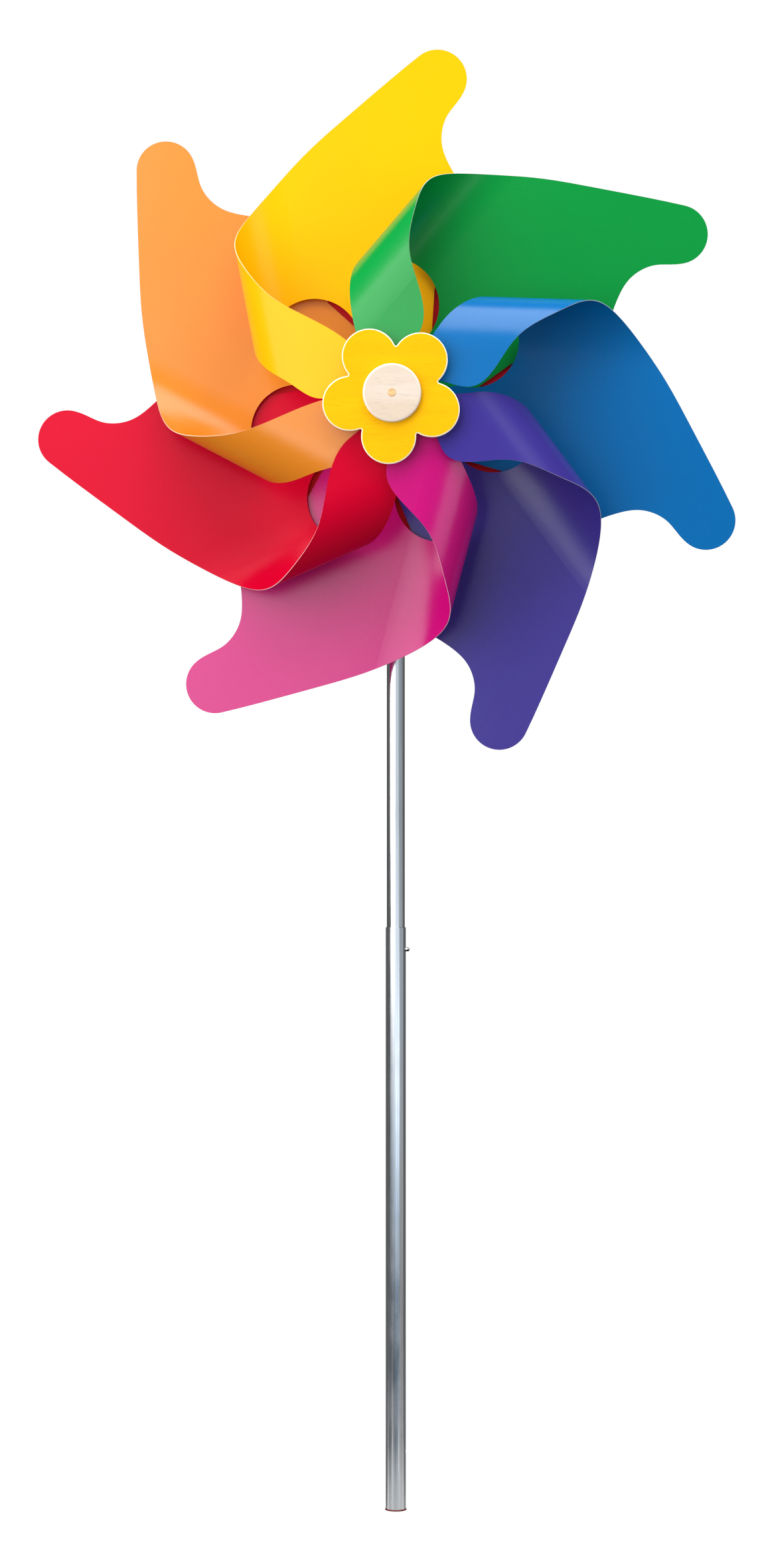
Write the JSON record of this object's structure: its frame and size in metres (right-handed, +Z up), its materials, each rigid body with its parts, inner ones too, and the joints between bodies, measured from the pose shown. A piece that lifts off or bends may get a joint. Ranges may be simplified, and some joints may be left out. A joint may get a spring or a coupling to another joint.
{
  "type": "garden wind spinner",
  "caption": "Garden wind spinner: a many-vaned pinwheel of rolled plastic sheets with a wooden flower hub, turning on a two-section telescoping metal pole.",
  "frame": {"origin": "centre of the pole's foot, on its flat underside", "axes": "+Z up along the pole, +X to the right seen from the front, +Y away from the viewer, so the flower faces -Y"},
  "size_m": [0.6906, 0.1804, 1.4494],
  "materials": {
    "tube_metal": "drawn and clear anodised",
    "foot_plastic": "moulded",
    "cap_plastic": "moulded",
    "bush_nylon": "moulded nylon",
    "spring_metal": "bright spring steel",
    "dowel_wood": "sanded ramin dowel",
    "bead_wood": "turned and waxed",
    "disc_wood": "red stained plywood",
    "hub_wood": "plain plywood",
    "flower_wood": "yellow painted plywood with bare edges",
    "birch_wood": "sanded birch",
    "screw_metal": "zinc plated",
    "washer_nylon": "moulded nylon",
    "vane_green": "satin sheet, finely grained",
    "vane_yellow": "satin sheet, finely grained",
    "vane_orange": "satin sheet, finely grained",
    "vane_red": "satin sheet, finely grained",
    "vane_magenta": "satin sheet, finely grained",
    "vane_purple": "satin sheet, finely grained",
    "vane_blue": "satin sheet, finely grained"
  },
  "bodies": {
    "lower_pole": {"lower_tube": "tube_metal", "foot_plug": "foot_plastic"},
    "upper_mast": {"upper_tube": "tube_metal", "mast_cap": "cap_plastic", "front_bush": "bush_nylon", "rear_bush": "bush_nylon"},
    "clip": {"snap_clip": "spring_metal"},
    "rotor": {"axle_dowel": "dowel_wood", "rear_ball": "bead_wood", "rear_pin": "screw_metal", "thrust_bead": "bead_wood", "back_disc": "disc_wood", "root_plate": "hub_wood", "spool": "hub_wood", "front_hub": "hub_wood", "front_bead": "bead_wood", "flower": "flower_wood", "centre_disc": "birch_wood", "root_screws": "screw_metal", "root_washers": "washer_nylon", "strap_screws": "screw_metal", "strap_washers": "washer_nylon", "vane_green": "vane_green", "vane_yellow": "vane_yellow", "vane_orange": "vane_orange", "vane_red": "vane_red", "vane_magenta": "vane_magenta", "vane_purple": "vane_purple", "vane_blue": "vane_blue"}
  },
  "joints": [
    {"name": "mast_slide", "type": "slide", "parent": "lower_pole", "child": "upper_mast", "axis": [0, 0, 1], "range_m": [-0.5, 0]},
    {"name": "button_press", "type": "slide", "parent": "upper_mast", "child": "clip", "axis": [-1, 0, 0], "range_m": [0, 0.005], "stiffness_N_per_m": 900, "deforming": ["snap_clip"]},
    {"name": "rotor_spin", "type": "hinge", "parent": "upper_mast", "child": "rotor", "pos_m": [0, 0, 1.096], "axis": [0, -1, 0], "continuous": true}
  ]
}
